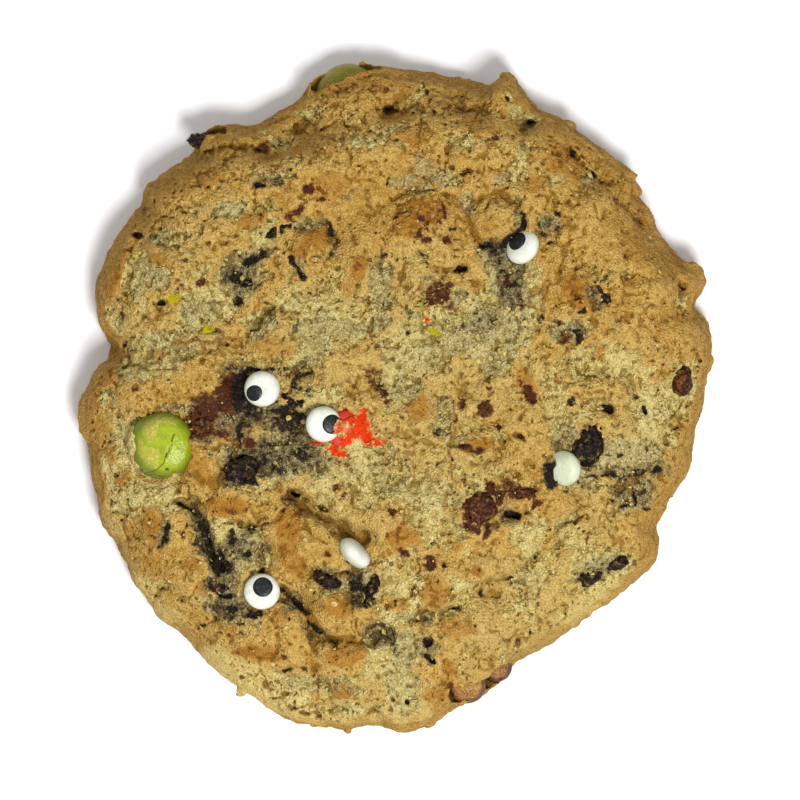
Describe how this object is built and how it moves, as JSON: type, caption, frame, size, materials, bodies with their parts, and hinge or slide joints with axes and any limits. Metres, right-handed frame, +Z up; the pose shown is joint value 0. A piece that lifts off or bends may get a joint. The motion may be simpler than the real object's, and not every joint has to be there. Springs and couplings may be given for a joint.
{
  "type": "monster cookie",
  "caption": "Thick craggy round drop cookie with candy eyes, coloured candy shells and dark chocolate pieces pressed into its cracked golden crust.",
  "frame": {"origin": "on the flat underside, under the middle of the cookie's outline", "axes": "+Z up out of the decorated top, +Y towards the edge with the half-covered green candy, +X towards the edge on the right of the picture"},
  "size_m": [0.1273, 0.1342, 0.0257],
  "materials": {
    "dough": "matte golden-brown baked dough with a cracked, pitted crust",
    "white_sugar": "smooth off-white pressed sugar, slight sheen",
    "black_icing": "dark set icing, semi-gloss",
    "green_shell": "lime candy shell, baked and crackled",
    "red_shell": "red candy shell, bled into the crumb",
    "pink_shell": "pink candy shell, satin",
    "brown_shell": "brown candy shell, satin",
    "dark_chocolate": "dark chocolate, broken, partly glossy",
    "milk_chocolate": "red-brown chocolate, melted and set"
  },
  "bodies": {
    "root": {"cookie": "dough", "eye_1": "white_sugar", "eye_2": "white_sugar", "eye_3": "white_sugar", "eye_4": "white_sugar", "eye_5": "white_sugar", "eye_6": "white_sugar", "pupil_1": "black_icing", "pupil_2": "black_icing", "pupil_3": "black_icing", "pupil_6": "black_icing", "green_candy_left": "green_shell", "green_candy_top": "green_shell", "red_candy": "red_shell", "pink_candy_upper": "pink_shell", "pink_candy_lower": "pink_shell", "brown_candy": "brown_shell", "brown_candy_right": "brown_shell", "chunk_rim": "dark_chocolate", "chunk_by_eye": "dark_chocolate", "chunk_dark_pool": "dark_chocolate", "chunk_between": "dark_chocolate", "chunk_low_right": "dark_chocolate", "chunk_low_far": "dark_chocolate", "chunk_slice": "dark_chocolate", "chunk_slot": "dark_chocolate", "chunk_low_left": "dark_chocolate", "chunk_tongue": "dark_chocolate", "chunk_middle_low": "dark_chocolate", "chunk_right": "milk_chocolate", "chunk_block": "milk_chocolate", "chunk_fudge": "milk_chocolate", "chunk_fudge_tail": "milk_chocolate", "chunk_top": "milk_chocolate"}
  },
  "joints": []
}
